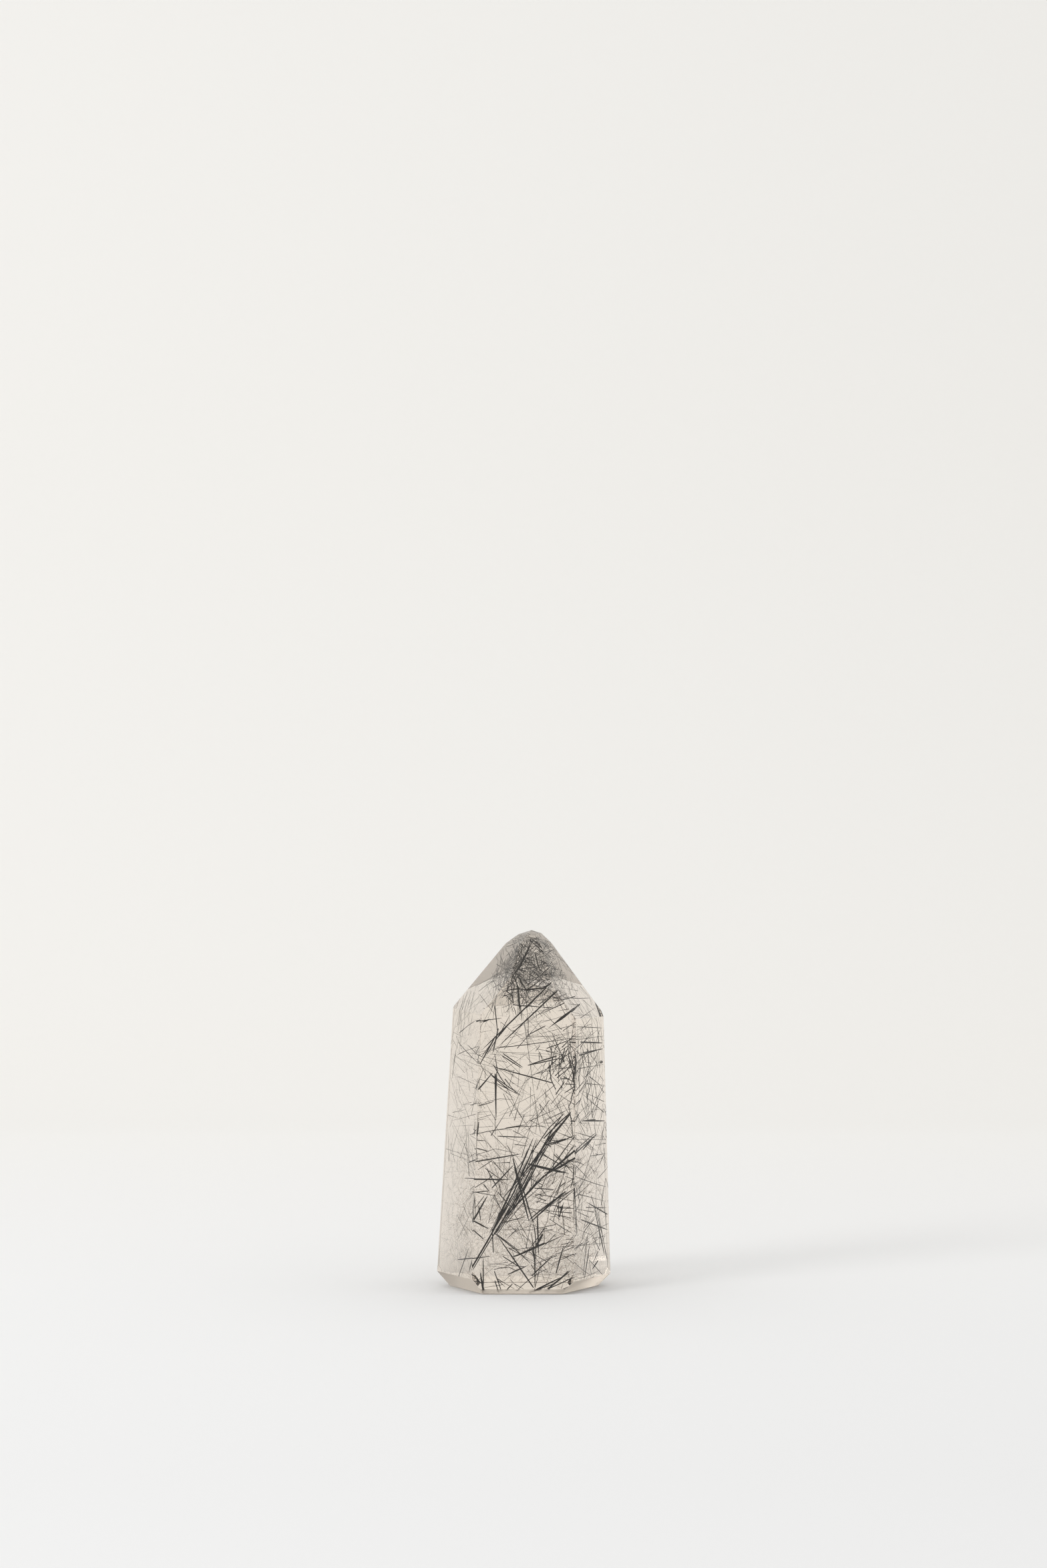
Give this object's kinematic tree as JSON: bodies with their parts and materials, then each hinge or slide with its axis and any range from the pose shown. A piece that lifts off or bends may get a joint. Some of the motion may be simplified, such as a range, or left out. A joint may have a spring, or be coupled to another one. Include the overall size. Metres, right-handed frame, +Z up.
{
  "type": "tourmalinated quartz tower",
  "caption": "Polished six-sided tower of clear quartz with a faceted point and black tourmaline needles grown through it, standing on a flat ground foot.",
  "frame": {"origin": "on the ground foot, under the middle of the stone's box", "axes": "+Z up along the tower to its point, +X to the right of the broad front face, +Y away from it"},
  "size_m": [0.0342, 0.024, 0.07],
  "materials": {
    "quartz": "polished, clear with a faint warm grey haze",
    "tourmaline": "glossy black, finely striated along each needle"
  },
  "bodies": {
    "root": {"quartz_tower": "quartz", "tourmaline_spray": "tourmaline", "tourmaline_tip_fan": "tourmaline", "tourmaline_base_star": "tourmaline", "tourmaline_cross_crystals": "tourmaline", "tourmaline_tip_needle": "tourmaline", "tourmaline_corner_needle": "tourmaline", "tourmaline_spindle": "tourmaline", "tourmaline_steep_needle": "tourmaline", "tourmaline_slant_needle": "tourmaline", "tourmaline_level_needle": "tourmaline", "tourmaline_upper_level_needle": "tourmaline", "tourmaline_upright_needle": "tourmaline", "tourmaline_diagonal_needle": "tourmaline", "tourmaline_lower_edge_needle": "tourmaline", "tourmaline_middle_edge_needle": "tourmaline", "tourmaline_upper_edge_needle": "tourmaline", "tourmaline_stub": "tourmaline", "tourmaline_left_foot_needle": "tourmaline", "tourmaline_middle_foot_needle": "tourmaline", "tourmaline_right_foot_needle": "tourmaline", "tourmaline_shoulder_needle": "tourmaline", "tourmaline_long_sloping_needle": "tourmaline", "tourmaline_short_sloping_needle": "tourmaline", "tourmaline_forked_needle": "tourmaline", "tourmaline_highest_needle": "tourmaline", "tourmaline_left_level_needle": "tourmaline", "tourmaline_lower_level_needle": "tourmaline", "tourmaline_twin_needle": "tourmaline", "tourmaline_branch_needle": "tourmaline", "tourmaline_hanging_needle": "tourmaline", "tourmaline_small_spindle": "tourmaline", "tourmaline_right_sloping_needle": "tourmaline", "tourmaline_right_steep_needle": "tourmaline", "tourmaline_right_rising_needle": "tourmaline", "tourmaline_middle_rising_needle": "tourmaline", "tourmaline_left_rising_needle": "tourmaline", "tourmaline_left_foot_upright": "tourmaline", "tourmaline_right_high_needle": "tourmaline", "tourmaline_right_short_needle": "tourmaline", "tourmaline_middle_short_needle": "tourmaline", "tourmaline_left_pair": "tourmaline"}
  },
  "joints": []
}
